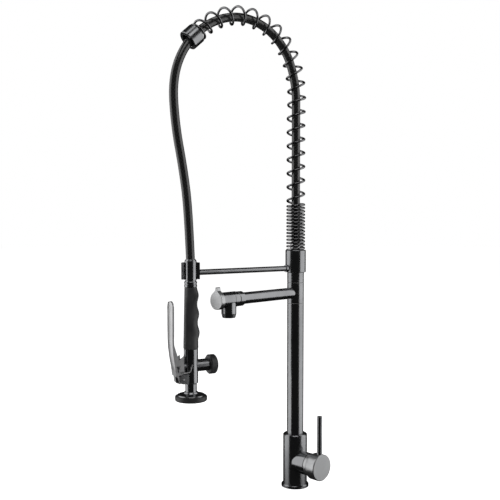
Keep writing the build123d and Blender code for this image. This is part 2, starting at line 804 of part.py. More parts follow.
with BuildPart() as grip:
    turned(
        SPRAY,
        [
            (HANDLE_R, GRIP_BOTTOM),
            (GRIP_BOTTOM_R - 0.6, GRIP_BOTTOM),
            (GRIP_BOTTOM_R, GRIP_BOTTOM + 0.8),
            (GRIP_TOP_R, GRIP_TOP - 0.6),
            (GRIP_TOP_R - 0.6, GRIP_TOP),
            (HANDLE_R, GRIP_TOP),
        ],
    )
    for height in BUMP_HEIGHTS:
        taper = (height - GRIP_BOTTOM) / (GRIP_TOP - GRIP_BOTTOM)
        wall = GRIP_BOTTOM_R + (GRIP_TOP_R - GRIP_BOTTOM_R) * taper
        with Locations(in_section(SPRAY, 12 - wall - BUMP, height)):
            Sphere(12)
    ring(SPRAY, GRIP_BOTTOM - 5, GRIP_TOP + 5, HANDLE_R, mode=Mode.SUBTRACT)
keep(grip, "grip")

SEAT_FACE = -12.0
LUG_HALF = 10.5
LUG_R = 9.0
SLOT_HALF = 4.3

with BuildPart() as spray_body:
    turned(
        SPRAY,
        [
            (0, OUTLET_BOTTOM),
            (OUTLET_R, OUTLET_BOTTOM),
            (OUTLET_R, SPRAY_BODY_BOTTOM - 1.5),
            (SPRAY_BODY_R - 0.8, SPRAY_BODY_BOTTOM),
            (SPRAY_BODY_R, SPRAY_BODY_BOTTOM + 0.8),
            (SPRAY_BODY_R, GRIP_BOTTOM - 0.8),
            (SPRAY_BODY_R - 0.8, GRIP_BOTTOM),
            (0, GRIP_BOTTOM),
        ],
    )
    ring(SPRAY_VALVE, VALVE_TUBE_END, 0, VALVE_TUBE_R, about_x=True)
    ring(SPRAY_VALVE, 0, PLUNGER_BOSS_END, 7.2, about_x=True)
    with BuildSketch(SPRAY) as lug:
        with Locations((PIVOT_U, PIVOT_Z)):
            Circle(LUG_R)
        with Locations((PIVOT_U / 2, PIVOT_Z)):
            Rectangle(PIVOT_U, 2 * LUG_R)
    extrude(lug.sketch, amount=LUG_HALF, both=True)
    with BuildSketch(SPRAY) as slot:
        with Locations((25, PIVOT_Z)):
            Rectangle(24, 24)
    extrude(slot.sketch, amount=SLOT_HALF, both=True, mode=Mode.SUBTRACT)
    cross_pin(SPRAY, PIVOT_U, PIVOT_Z, 2, LUG_HALF + 1, mode=Mode.SUBTRACT)
    ring(SPRAY, 284, GRIP_BOTTOM, HANDLE_R, mode=Mode.SUBTRACT)
    ring(SPRAY, 276, 284, 6, mode=Mode.SUBTRACT)
    ring(SPRAY, OUTLET_BOTTOM, VALVE_Z, 6, mode=Mode.SUBTRACT)
    ring(SPRAY_VALVE, VALVE_TUBE_END, -8, CHAMBER_R, about_x=True, mode=Mode.SUBTRACT)
    ring(SPRAY_VALVE, -10, 20, PLUNGER_R + RUNNING, about_x=True, mode=Mode.SUBTRACT)
    feed_start = in_section(SPRAY, -2, 287)
    feed_end = in_section(SPRAY, -18, 267)
    with BuildSketch(Plane(origin=feed_start, z_dir=feed_end - feed_start)) as feed:
        Circle(2.2)
    extrude(feed.sketch, amount=(feed_end - feed_start).length, mode=Mode.SUBTRACT)
keep(spray_body, "spray_body")

with BuildPart() as valve_seat:
    ring(SPRAY_VALVE, SEAT_FACE, SEAT_FACE + 3, CHAMBER_R, 5, about_x=True)
keep(valve_seat, "valve_seat")

WASHER_BACK = SEAT_FACE - 3.05
ROLLER_FRONT = ROLLER_U - ROLLER_R - 0.1

with BuildPart() as spray_plunger:
    ring(SPRAY_VALVE, -24, ROLLER_FRONT, PLUNGER_R, about_x=True)
    ring(SPRAY_VALVE, WASHER_BACK - 2, WASHER_BACK, 7, about_x=True)
keep(spray_plunger, "spray_plunger")

with BuildPart() as plunger_washer:
    ring(SPRAY_VALVE, WASHER_BACK, WASHER_BACK + 3, 7, PLUNGER_R, about_x=True)
keep(plunger_washer, "plunger_washer")

SPRING_SEAT = -34.0

with BuildPart() as return_spring:
    spring_back = in_section(SPRAY, SPRING_SEAT + 0.7, VALVE_Z)
    coil_length = WASHER_BACK - 2 - SPRING_SEAT - 1.5
    with BuildLine() as coil:
        Helix(pitch=2.9, height=coil_length, radius=5.6, center=spring_back, direction=ARM_DIR)
    wire = coil.wires()[0]
    with BuildSketch(Plane(origin=wire @ 0, z_dir=wire % 0)) as section:
        Circle(0.55)
    sweep(section.sketch, path=wire, is_frenet=True)
keep(return_spring, "return_spring")

with BuildPart() as valve_bonnet:
    turned(
        SPRAY_VALVE,
        [
            (BONNET_END, 0),
            (BONNET_END, BONNET_R - 3.2),
            (BONNET_END + 1.6, BONNET_R - 0.8),
            (BONNET_END + 2.6, BONNET_R),
            (-37.4, BONNET_R),
            (-35.6, BONNET_R - 1.8),
            (-35.6, VALVE_TUBE_R + 0.02),
            (VALVE_TUBE_END, VALVE_TUBE_R + 0.02),
            (VALVE_TUBE_END, CHAMBER_R - 0.02),
            (SPRING_SEAT, CHAMBER_R - 0.02),
            (SPRING_SEAT, 0),
        ],
        about_x=True,
    )
keep(valve_bonnet, "valve_bonnet")

with BuildPart() as lever_pivot_pin:
    cross_pin(SPRAY, PIVOT_U, PIVOT_Z, 2, LUG_HALF + 0.3)
keep(lever_pivot_pin, "lever_pivot_pin")

with BuildPart() as spray_bell:
    turned(
        SPRAY,
        [
            (6, 203.5),
            (24, 203.5),
            (24, 199.5),
            (27.3, 199.5),
            (27.3, 207.5),
            (25.6, 209.4),
            (14.5, 211.8),
            (12.8, 214.4),
            (OUTLET_R, 214.4),
            (OUTLET_R, OUTLET_BOTTOM),
            (6, OUTLET_BOTTOM),
        ],
    )
keep(spray_bell, "spray_bell")

with BuildPart() as bell_bumper:
    turned(
        SPRAY,
        [
            (24, 197.5),
            (28.2, 197.5),
            (29.6, 198.3),
            (BELL_R, 200),
            (BELL_R, 204.9),
            (29.6, 206.7),
            (28.2, 207.5),
            (27.3, 207.5),
            (27.3, 199.5),
            (24, 199.5),
        ],
    )
keep(bell_bumper, "bell_bumper")

with BuildPart() as spray_plate:
    ring(SPRAY, 199.5, 203.4, 23.95)
    with BuildSketch(Plane(origin=in_section(SPRAY, 0, 199), x_dir=ARM_DIR, z_dir=UP)) as holes:
        for radius, count in ((5, 6), (10, 12), (15, 18)):
            with PolarLocations(radius, count):
                Circle(0.9)
    extrude(holes.sketch, amount=6, mode=Mode.SUBTRACT)
    ring(SPRAY, 201.5, 204, 19, mode=Mode.SUBTRACT)
keep(spray_plate, "spray_plate")

LEVER_HALF = 10.0
EAR = 2.0
STRIP = 2.5
LEVER_U = 41.0
LEVER_BEND_R = 262.0
LEVER_BEND = 19.5

with BuildPart() as spray_lever:
    with BuildSketch(SPRAY) as strip:
        with BuildLine():
            outer = Line((LEVER_U + STRIP / 2, 385), (LEVER_U + STRIP / 2, 320))
            outer_arc = JernArc(outer @ 1, outer % 1, LEVER_BEND_R + STRIP / 2, -LEVER_BEND)
            inner = Line((LEVER_U - STRIP / 2, 385), (LEVER_U - STRIP / 2, 320))
            inner_arc = JernArc(inner @ 1, inner % 1, LEVER_BEND_R - STRIP / 2, -LEVER_BEND)
            Line(outer @ 0, inner @ 0)
            Line(outer_arc @ 1, inner_arc @ 1)
        make_face()
    extrude(strip.sketch, amount=LEVER_HALF, both=True)
    with BuildSketch(SPRAY) as ear:
        with BuildLine():
            Polyline((40, 312), (29, 277), (19, 284), (18, 251), (34.2, 247), (36.4, 262), close=True)
        make_face()
        with BuildLine():
            Polyline((28.6, 254), (35, 254), (36.4, 266), (28.6, 266), close=True)
        make_face(mode=Mode.SUBTRACT)
    extrude(ear.sketch, amount=LEVER_HALF, both=True)
    with BuildSketch(SPRAY) as between:
        with BuildLine():
            Polyline((8, 320), (38, 320), (36, 262), (31, 250.2), (8, 250.2), close=True)
        make_face()
    extrude(between.sketch, amount=LEVER_HALF - EAR, both=True, mode=Mode.SUBTRACT)
    cross_pin(SPRAY, PIVOT_U, PIVOT_Z, LUG_R + 0.3, LEVER_HALF + 1, mode=Mode.SUBTRACT)
    with BuildSketch(SPRAY) as tongue:
        with Locations((PIVOT_U, PIVOT_Z)):
            Circle(5.5)
        with BuildLine():
            Polyline((PIVOT_U, 235), (33, 236), (34, 246), (PIVOT_U, 246), close=True)
        make_face()
    extrude(tongue.sketch, amount=SLOT_HALF - 0.3, both=True)
    cross_pin(SPRAY, PIVOT_U, PIVOT_Z, 2 + RUNNING, LUG_HALF + 1, mode=Mode.SUBTRACT)
    cross_pin(SPRAY, ROLLER_U, VALVE_Z, 1.8, LEVER_HALF + 1, mode=Mode.SUBTRACT)
    cross_pin(SPRAY, CLIP_PIVOT_U, CLIP_PIVOT_Z, CLIP_WIRE_R + RUNNING, 12, mode=Mode.SUBTRACT)
keep(spray_lever, "spray_lever")

with BuildPart() as lever_roller:
    cross_pin(SPRAY, ROLLER_U, VALVE_Z, 1.8, LEVER_HALF)
    cross_pin(SPRAY, ROLLER_U, VALVE_Z, ROLLER_R, LEVER_HALF - EAR - 0.3)
    for side in (-1, 1):
        head_plane = Plane(
            origin=in_section(SPRAY, ROLLER_U, VALVE_Z, side * LEVER_HALF),
            z_dir=SPRAY.z_dir * side,
        )
        with BuildSketch(head_plane) as head:
            Circle(4)
        extrude(head.sketch, amount=1.2)
keep(lever_roller, "lever_roller")

with BuildPart() as hold_clip:
    aside = 15.2
    side_points = [(4, 268), (9, 253.3), (CLIP_PIVOT_U, CLIP_PIVOT_Z)]
    near = [in_section(SPRAY, u, z, aside) for u, z in side_points]
    far = [in_section(SPRAY, u, z, -aside) for u, z in reversed(side_points)]
    with BuildLine() as bent_wire:
        FilletPolyline(*near, *far, radius=3)
    wire = bent_wire.wires()[0]
    with BuildSketch(Plane(origin=wire @ 0, z_dir=wire % 0)) as section:
        Circle(CLIP_WIRE_R)
    sweep(section.sketch, path=wire)
keep(hold_clip, "hold_clip")
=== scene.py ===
import bisect
import json
import math

import bmesh
import bpy
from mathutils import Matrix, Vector


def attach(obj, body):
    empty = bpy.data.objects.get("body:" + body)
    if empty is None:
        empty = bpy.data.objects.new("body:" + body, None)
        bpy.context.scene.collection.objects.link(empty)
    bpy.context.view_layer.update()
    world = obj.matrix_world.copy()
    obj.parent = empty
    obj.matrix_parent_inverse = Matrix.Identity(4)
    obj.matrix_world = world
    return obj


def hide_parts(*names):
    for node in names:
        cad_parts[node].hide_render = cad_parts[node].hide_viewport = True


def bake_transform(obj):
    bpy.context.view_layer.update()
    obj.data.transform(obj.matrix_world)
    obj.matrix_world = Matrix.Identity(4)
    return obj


# The looks of a pre-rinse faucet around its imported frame. Everything is in metres, Z up.

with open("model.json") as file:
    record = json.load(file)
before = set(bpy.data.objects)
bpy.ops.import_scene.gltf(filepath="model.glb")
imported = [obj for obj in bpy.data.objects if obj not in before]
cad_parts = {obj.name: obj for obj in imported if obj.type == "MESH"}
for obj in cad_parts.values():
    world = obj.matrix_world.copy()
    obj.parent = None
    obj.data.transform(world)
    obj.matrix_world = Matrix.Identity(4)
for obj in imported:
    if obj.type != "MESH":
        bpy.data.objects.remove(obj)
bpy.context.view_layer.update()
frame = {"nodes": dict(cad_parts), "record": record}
NODES = frame["nodes"]

ARM_HEADING = math.radians(-105)
ARM_DIR = Vector((math.cos(ARM_HEADING), math.sin(ARM_HEADING), 0))
ARM_SIDE = Vector((-math.sin(ARM_HEADING), math.cos(ARM_HEADING), 0))
UP = Vector((0, 0, 1))
REACH = 0.229


def in_arm(along, height, aside=0.0):
    """A point from its distance along the spray arm, its height and how far it is to the arm's left."""
    return ARM_DIR * along + UP * height + ARM_SIDE * aside


# ---------------------------------------------------------------- camera and light

CAMERA_AZIMUTH = math.radians(46.5)
CAMERA_DISTANCE = 1.782
CAMERA_ASIDE = -0.0905
CAMERA_HEIGHT = 0.578
CAMERA_DOWN = math.radians(3.33)
LENS_MM = 64.8

TOWARDS_CAMERA = Vector((math.sin(CAMERA_AZIMUTH), -math.cos(CAMERA_AZIMUTH), 0))
CAMERA_RIGHT = Vector((math.cos(CAMERA_AZIMUTH), math.sin(CAMERA_AZIMUTH), 0))


def from_camera(turn_degrees, distance, height):
    """A point round the faucet, turned from the camera's side."""
    turn = math.radians(turn_degrees)
    direction = TOWARDS_CAMERA * math.cos(turn) + CAMERA_RIGHT * math.sin(turn)
    return direction * distance + UP * height


def make_camera():
    data = bpy.data.cameras.new("camera")
    data.lens = LENS_MM
    data.sensor_width = 36.0
    data.clip_start = 0.05
    data.clip_end = 50.0
    camera = bpy.data.objects.new("camera", data)
    camera.location = (
        TOWARDS_CAMERA * CAMERA_DISTANCE + CAMERA_RIGHT * CAMERA_ASIDE + UP * CAMERA_HEIGHT
    )
    aim = -TOWARDS_CAMERA * math.cos(CAMERA_DOWN) - UP * math.sin(CAMERA_DOWN)
    camera.rotation_mode = "QUATERNION"
    camera.rotation_quaternion = aim.to_track_quat("-Z", "Y")
    bpy.context.collection.objects.link(camera)
    bpy.context.scene.camera = camera


def facing(obj, target):
    """Turn an object so that its -Z points at a target."""
    obj.rotation_mode = "QUATERNION"
    obj.rotation_quaternion = (Vector(target) - obj.location).to_track_quat("-Z", "Y")


def area_light(name, place, target, size, power):
    data = bpy.data.lights.new(name, "AREA")
    data.shape = "RECTANGLE"
    data.size, data.size_y = size
    data.energy = power
    light = bpy.data.objects.new(name, data)
    light.location = place
    bpy.context.collection.objects.link(light)
    facing(light, target)
    light.visible_camera = False


def stage_plane(name, place, target, size, colour):
    """A flat card of the set, facing a target."""
    half_width, half_height = size[0] / 2, size[1] / 2
    mesh = bpy.data.meshes.new(name)
    corners = [(-half_width, -half_height, 0), (half_width, -half_height, 0),
               (half_width, half_height, 0), (-half_width, half_height, 0)]
    mesh.from_pydata(corners, [], [(0, 1, 2, 3)])
    card = bpy.data.objects.new(name, mesh)
    card.location = place
    bpy.context.collection.objects.link(card)
    facing(card, target)
    material = bpy.data.materials.new(name)
    material.use_nodes = True
    shader = material.node_tree.nodes["Principled BSDF"]
    shader.inputs["Base Color"].default_value = (*colour, 1)
    shader.inputs["Roughness"].default_value = 0.9
    shader.inputs["Specular IOR Level"].default_value = 0.0
    mesh.materials.append(material)
    return card


def glowing_shell():
    """A white surround that only the camera sees, so that dark metal keeps its dark outlines."""
    mesh = bpy.data.meshes.new("surround")
    build = bmesh.new()
    bmesh.ops.create_uvsphere(build, u_segments=48, v_segments=24, radius=9.0)
    build.to_mesh(mesh)
    build.free()
    shell = bpy.data.objects.new("surround", mesh)
    bpy.context.collection.objects.link(shell)
    material = bpy.data.materials.new("surround")
    material.use_nodes = True
    shader = material.node_tree.nodes["Principled BSDF"]
    shader.inputs["Base Color"].default_value = (0, 0, 0, 1)
    shader.inputs["Specular IOR Level"].default_value = 0.0
    shader.inputs["Emission Color"].default_value = (1, 1, 1, 1)
    shader.inputs["Emission Strength"].default_value = 1.0
    mesh.materials.append(material)
    shell.visible_glossy = False
    shell.visible_diffuse = False
    shell.visible_shadow = False
    shell.visible_transmission = False


SOFTBOXES = (("softbox_left", -92, 2.3), ("softbox_right", 87, 2.8))
SOFTBOX_DISTANCE = 2.0
SOFTBOX_HEIGHT = 1.2
SOFTBOX_TALL = 3.6
SOFTBOX_POWER = 15


def make_set():
    bpy.context.scene.view_settings.view_transform = "Standard"
    world = bpy.data.worlds.new("studio")
    world.use_nodes = True
    background = world.node_tree.nodes["Background"]
    background.inputs["Color"].default_value = (1, 1, 1, 1)
    background.inputs["Strength"].default_value = 0.02
    bpy.context.scene.world = world
    glowing_shell()
    floor = stage_plane("floor", Vector((0, 0, -0.0005)), (0, 0, -1), (17, 17), (0.9, 0.9, 0.9))
    floor_shader = floor.data.materials[0].node_tree.nodes["Principled BSDF"]
    floor_shader.inputs["Emission Color"].default_value = (1, 1, 1, 1)
    floor_shader.inputs["Emission Strength"].default_value = 1.0
    floor.visible_glossy = False
    # tall soft boxes at both sides give dark metal its two light stripes
    for name, turn, wide in SOFTBOXES:
        place = from_camera(turn, SOFTBOX_DISTANCE, SOFTBOX_HEIGHT)
        area_light(name, place, (0, 0, place.z), (wide, SOFTBOX_TALL), SOFTBOX_POWER * wide)
    area_light("front_light", from_camera(0, 1.7, 2.4), (0, 0, 0.5), (1.8, 0.9), 8)
    area_light("top_light", Vector((0.1, -0.1, 2.8)), (0, 0, 0.5), (1.4, 1.4), 8)


# ---------------------------------------------------------------- materials


def new_material(name, colour, metallic, roughness):
    """A material with its principled shader, and its tree."""
    material = bpy.data.materials.new(name)
    material.use_nodes = True
    tree = material.node_tree
    shader = tree.nodes["Principled BSDF"]
    shader.inputs["Base Color"].default_value = (*colour, 1)
    shader.inputs["Metallic"].default_value = metallic
    shader.inputs["Roughness"].default_value = roughness
    return material, tree, shader


def place_scaled(tree, scale):
    """Object coordinates, scaled along each axis."""
    place = tree.nodes.new("ShaderNodeTexCoord")
    mapping = tree.nodes.new("ShaderNodeMapping")
    mapping.inputs["Scale"].default_value = scale
    tree.links.new(place.outputs["Object"], mapping.inputs["Vector"])
    return mapping.outputs["Vector"]


def noise(tree, scale, detail=4.0, vector=None):
    node = tree.nodes.new("ShaderNodeTexNoise")
    node.inputs["Scale"].default_value = scale
    node.inputs["Detail"].default_value = detail
    if vector is None:
        vector = place_scaled(tree, (1, 1, 1))
    tree.links.new(vector, node.inputs["Vector"])
    return node.outputs["Fac"]


def ranged(tree, value, low, high):
    """A texture's 0.3 to 0.7 mapped to low to high."""
    node = tree.nodes.new("ShaderNodeMapRange")
    node.inputs["From Min"].default_value = 0.3
    node.inputs["From Max"].default_value = 0.7
    node.inputs["To Min"].default_value = low
    node.inputs["To Max"].default_value = high
    tree.links.new(value, node.inputs["Value"])
    return node.outputs["Result"]


def mixed(tree, factor, first, second):
    node = tree.nodes.new("ShaderNodeMix")
    node.data_type = "RGBA"
    node.inputs[6].default_value = (*first, 1)
    node.inputs[7].default_value = (*second, 1)
    tree.links.new(factor, node.inputs["Factor"])
    return node.outputs[2]


def bumped(tree, shader, height, strength, distance):
    node = tree.nodes.new("ShaderNodeBump")
    node.inputs["Strength"].default_value = strength
    node.inputs["Distance"].default_value = distance
    tree.links.new(height, node.inputs["Height"])
    tree.links.new(node.outputs["Normal"], shader.inputs["Normal"])


def metal(name, dark, light, rough, brushed=(1, 1, 1), smudge=0.06):
    """Metal with faint smudges, uneven gloss and a fine brushed or polished grain."""
    material, tree, shader = new_material(name, dark, 1.0, rough)
    broad = ranged(tree, noise(tree, 22.0), 0.0, 1.0)
    tree.links.new(mixed(tree, broad, dark, light), shader.inputs["Base Color"])
    grain = noise(tree, 900.0, 3.0, place_scaled(tree, brushed))
    gloss = tree.nodes.new("ShaderNodeMath")
    gloss.operation = "ADD"
    tree.links.new(ranged(tree, noise(tree, 60.0), rough, rough + smudge), gloss.inputs[0])
    tree.links.new(ranged(tree, grain, 0.0, smudge * 0.6), gloss.inputs[1])
    tree.links.new(gloss.outputs[0], shader.inputs["Roughness"])
    bumped(tree, shader, grain, 0.02, 0.0001)
    return material


def rubber(name, dark, light, rough, scale, bump):
    material, tree, shader = new_material(name, dark, 0.0, rough)
    fine = noise(tree, scale, 5.0)
    tree.links.new(mixed(tree, ranged(tree, noise(tree, 40.0), 0, 1), dark, light),
                   shader.inputs["Base Color"])
    tree.links.new(ranged(tree, fine, rough - 0.06, rough + 0.08), shader.inputs["Roughness"])
    bumped(tree, shader, fine, bump, 0.0004)
    return material


HOSE_BRAIDS = 150.0
HOSE_STRANDS = 9.0


def braided_hose():
    """Two sets of slanted strands under a glossy clear cover, laid out by the tube's UVs."""
    material, tree, shader = new_material("braided_hose", (0.006, 0.006, 0.006), 0.0, 0.30)
    uv = tree.nodes.new("ShaderNodeTexCoord")
    heights = []
    for slant in (-1, 1):
        mapping = tree.nodes.new("ShaderNodeMapping")
        mapping.inputs["Scale"].default_value = (HOSE_STRANDS, HOSE_BRAIDS, 1)
        tree.links.new(uv.outputs["UV"], mapping.inputs["Vector"])
        split = tree.nodes.new("ShaderNodeSeparateXYZ")
        tree.links.new(mapping.outputs["Vector"], split.inputs["Vector"])
        turn = tree.nodes.new("ShaderNodeMath")
        turn.operation = "MULTIPLY_ADD"
        turn.inputs[1].default_value = slant
        tree.links.new(split.outputs["X"], turn.inputs[0])
        tree.links.new(split.outputs["Y"], turn.inputs[2])
        wave = tree.nodes.new("ShaderNodeMath")
        wave.operation = "PINGPONG"
        wave.inputs[1].default_value = 0.5
        tree.links.new(turn.outputs[0], wave.inputs[0])
        heights.append(wave.outputs[0])
    weave = tree.nodes.new("ShaderNodeMath")
    weave.operation = "MAXIMUM"
    tree.links.new(heights[0], weave.inputs[0])
    tree.links.new(heights[1], weave.inputs[1])
    tint = tree.nodes.new("ShaderNodeMapRange")
    tint.inputs["From Max"].default_value = 0.5
    tree.links.new(weave.outputs[0], tint.inputs["Value"])
    tree.links.new(mixed(tree, tint.outputs["Result"], (0.001, 0.001, 0.001), (0.014, 0.014, 0.014)),
                   shader.inputs["Base Color"])
    shader.inputs["Coat Weight"].default_value = 1.0
    shader.inputs["Coat Roughness"].default_value = 0.12
    shader.inputs["Specular IOR Level"].default_value = 0.3
    bumped(tree, shader, weave.outputs[0], 0.5, 0.0006)
    return material


MATERIALS = {
    "gunmetal": metal("black_nickel", (0.23, 0.233, 0.24), (0.29, 0.293, 0.30), 0.17),
    "spring_steel": metal("spring_wire", (0.16, 0.16, 0.165), (0.24, 0.24, 0.245), 0.14),
    "bright_steel": metal("satin_steel", (0.46, 0.46, 0.465), (0.54, 0.54, 0.545), 0.27,
                          (1, 1, 0.06), 0.08),
    "brass": metal("machined_brass", (0.68, 0.50, 0.24), (0.76, 0.58, 0.30), 0.22, (1, 1, 0.05)),
    "ceramic": rubber("alumina", (0.80, 0.79, 0.76), (0.86, 0.85, 0.82), 0.22, 700.0, 0.05),
    "black_rubber": rubber("seal_rubber", (0.012, 0.012, 0.012), (0.022, 0.022, 0.022), 0.42,
                           900.0, 0.15),
    "grip_rubber": rubber("grip_rubber", (0.018, 0.018, 0.019), (0.032, 0.032, 0.033), 0.40,
                          1300.0, 0.22),
    "hose": braided_hose(),
    "nylon": rubber("grey_nylon", (0.10, 0.10, 0.10), (0.15, 0.15, 0.15), 0.45, 600.0, 0.1),
    "black_plastic": rubber("bonnet_plastic", (0.012, 0.012, 0.013), (0.024, 0.024, 0.025), 0.36,
                            900.0, 0.12),
}
SATIN = metal("satin_nickel", (0.40, 0.405, 0.41), (0.47, 0.475, 0.48), 0.30, (1, 1, 0.08), 0.08)


def shade_smooth(obj, angle=30.0):
    """Smooth shading up to an angle between faces."""
    mesh = obj.data
    mesh.shade_smooth()
    limit = math.radians(angle)
    normals = [polygon.normal.copy() for polygon in mesh.polygons]
    beside = {}
    for polygon in mesh.polygons:
        for key in polygon.edge_keys:
            beside.setdefault(key, []).append(polygon.index)
    for edge in mesh.edges:
        faces = beside.get(edge.key, [])
        edge.use_edge_sharp = len(faces) == 2 and normals[faces[0]].angle(normals[faces[1]], 0) > limit


def dress_nodes():
    """Give every CAD node the material of its slot."""
    for row in frame["record"]["subparts"]:
        node = NODES[row["node"]]
        material = MATERIALS[row["material_slot"]]
        node.data.materials.clear()
        node.data.materials.append(material)
    for name in ("pot_knob", "mixer_cap"):
        NODES[name].data.materials[0] = SATIN


def add_mesh(name, vertices, faces, material, body):
    mesh = bpy.data.meshes.new(name)
    mesh.from_pydata(vertices, [], faces)
    mesh.materials.append(material)
    obj = bpy.data.objects.new(name, mesh)
    bpy.context.collection.objects.link(obj)
    if body:
        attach(obj, body)
    return obj


def tube_faces(rings, around):
    """The side faces of a tube of rings, with a face at each end."""
    faces = []
    for ring in range(rings - 1):
        for step in range(around):
            after = (step + 1) % around
            low, high = ring * around, (ring + 1) * around
            faces.append((low + step, low + after, high + after, high + step))
    faces.append(tuple(reversed(range(around))))
    faces.append(tuple(range((rings - 1) * around, rings * around)))
    return faces


# ---------------------------------------------------------------- hose

HOSE_R = 0.0083
HOSE_ROUTE = [
    (0, 0.487),
    (0, 0.735),
    (0, 0.796),
    (0.020, 0.861),
    (0.066, 0.906),
    (0.126, 0.922),
    (0.187, 0.905),
    (0.237, 0.862),
    (0.264, 0.798),
    (0.259, 0.712),
    (0.243, 0.630),
    (0.233, 0.555),
    (REACH, 0.458),
]
HOSE_AROUND = 32


def smooth_line(name, points, steps):
    """The points of a smooth NURBS line through a route, as the curve gives them."""
    curve = bpy.data.curves.new(name, "CURVE")
    curve.dimensions = "3D"
    curve.resolution_u = steps
    spline = curve.splines.new("NURBS")
    spline.points.add(len(points) - 1)
    for point, place in zip(spline.points, points):
        point.co = (*place, 1)
    spline.order_u = 3
    spline.use_endpoint_u = True
    obj = bpy.data.objects.new(name, curve)
    bpy.context.collection.objects.link(obj)
    bpy.context.view_layer.update()
    mesh = bpy.data.meshes.new_from_object(obj.evaluated_get(bpy.context.evaluated_depsgraph_get()))
    line = [vertex.co.copy() for vertex in mesh.vertices]
    bpy.data.meshes.remove(mesh)
    bpy.data.objects.remove(obj)
    return line


def line_direction(line, index):
    before, after = max(index - 1, 0), min(index + 1, len(line) - 1)
    return (line[after] - line[before]).normalized()


def make_hose():
    line = smooth_line("hose_route", [in_arm(*point) for point in HOSE_ROUTE], 32)
    vertices = []
    for index, centre in enumerate(line):
        outward = ARM_SIDE.cross(line_direction(line, index)).normalized()
        for step in range(HOSE_AROUND):
            angle = 2 * math.pi * step / HOSE_AROUND
            vertices.append(centre + (outward * math.cos(angle) + ARM_SIDE * math.sin(angle)) * HOSE_R)
    hose = add_mesh("braided_spray_hose", vertices, tube_faces(len(line), HOSE_AROUND),
                    MATERIALS["hose"], None)
    lengths = [0.0]
    for here, there in zip(line, line[1:]):
        lengths.append(lengths[-1] + (there - here).length)
    layer = hose.data.uv_layers.new(name="UVMap")
    for polygon in hose.data.polygons:
        steps = [hose.data.loops[i].vertex_index % HOSE_AROUND for i in polygon.loop_indices]
        wraps = max(steps) - min(steps) > 1 and len(steps) == 4
        for loop, step in zip(polygon.loop_indices, steps):
            ring = hose.data.loops[loop].vertex_index // HOSE_AROUND
            across = HOSE_AROUND if wraps and step == 0 else step
            layer.data[loop].uv = (across / HOSE_AROUND, lengths[ring] / lengths[-1])
    shade_smooth(hose, 40)
    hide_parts("spray_hose")
    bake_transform(hose)
    return line, lengths


# ---------------------------------------------------------------- spring

SPRING_R = 0.0165
WIRE_R = 0.0022
SPRING_FOOT = 0.4591
CLOSE_END = 0.566
CLOSE_PITCH = 0.0066
OPEN_PITCH = 0.0275
BEND_START = 0.731
FERRULE_REACH = 0.215
END_TURN = 0.008
SPRING_LIFT = 0.0045
WIRE_AROUND = 14
WIRE_STEPS = 40


def line_at(line, lengths, length):
    """A place on a line and its direction, from how far along it is."""
    if length <= 0:
        return line[0] + UP * length, UP
    index = min(bisect.bisect_left(lengths, length), len(line) - 1)
    share = (length - lengths[index - 1]) / (lengths[index] - lengths[index - 1])
    before, after = line_direction(line, index - 1), line_direction(line, index)
    return line[index - 1].lerp(line[index], share), before.lerp(after, share).normalized()


def make_spring(line, lengths):
    """The spring's wire, wound to the right about the hose: close coils, open coils, end coil."""
    falling = [i for i, point in enumerate(line) if point.dot(ARM_DIR) > FERRULE_REACH]
    finish = lengths[falling[0]] - WIRE_R - 0.0003
    start, close_end = SPRING_FOOT - HOSE_ROUTE[0][1], CLOSE_END - HOSE_ROUTE[0][1]
    bend = BEND_START - HOSE_ROUTE[0][1]
    close_turns = (close_end - start) / CLOSE_PITCH
    open_turns = round((finish - END_TURN - close_end) / OPEN_PITCH)
    open_pitch = (finish - END_TURN - close_end) / open_turns
    all_turns = close_turns + open_turns + 1

    def wire_point(turn):
        if turn <= close_turns:
            length = start + turn * CLOSE_PITCH
        elif turn <= close_turns + open_turns:
            length = close_end + (turn - close_turns) * open_pitch
        else:
            length = finish - END_TURN * (all_turns - turn)
        centre, along = line_at(line, lengths, length)
        outward = along.cross(ARM_SIDE).normalized()
        share = min(max((length - bend) / (finish - bend), 0), 1)
        angle = 2 * math.pi * turn
        radial = outward * math.cos(angle) - ARM_SIDE * math.sin(angle)
        return centre + outward * SPRING_LIFT * math.sin(math.pi * share) + radial * SPRING_R, radial

    count = int(all_turns * WIRE_STEPS)
    path = [wire_point(all_turns * i / count) for i in range(count + 1)]
    places = [place for place, _ in path]
    vertices = []
    for index, (place, radial) in enumerate(path):
        along = line_direction(places, index)
        side = along.cross(radial).normalized()
        across = side.cross(along)
        for step in range(WIRE_AROUND):
            angle = 2 * math.pi * step / WIRE_AROUND
            vertices.append(place + (across * math.cos(angle) + side * math.sin(angle)) * WIRE_R)
    spring = add_mesh("arch_spring", vertices, tube_faces(len(path), WIRE_AROUND),
                      MATERIALS["spring_steel"], "spray_arm")
    shade_smooth(spring, 50)
    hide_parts("hose_spring")


# ---------------------------------------------------------------- grip

GRIP_LOW, GRIP_HIGH = 0.296, 0.412
GRIP_LOW_R, GRIP_HIGH_R = 0.0142, 0.0116
BUMP_HEIGHTS = (0.326, 0.361, 0.396)
BUMP = 0.0034
BUMP_HALF = 0.0165
GRIP_AROUND = 64
GRIP_RINGS = 150
GRIP_EDGE = 0.0012
HANDLE_R = 0.0085


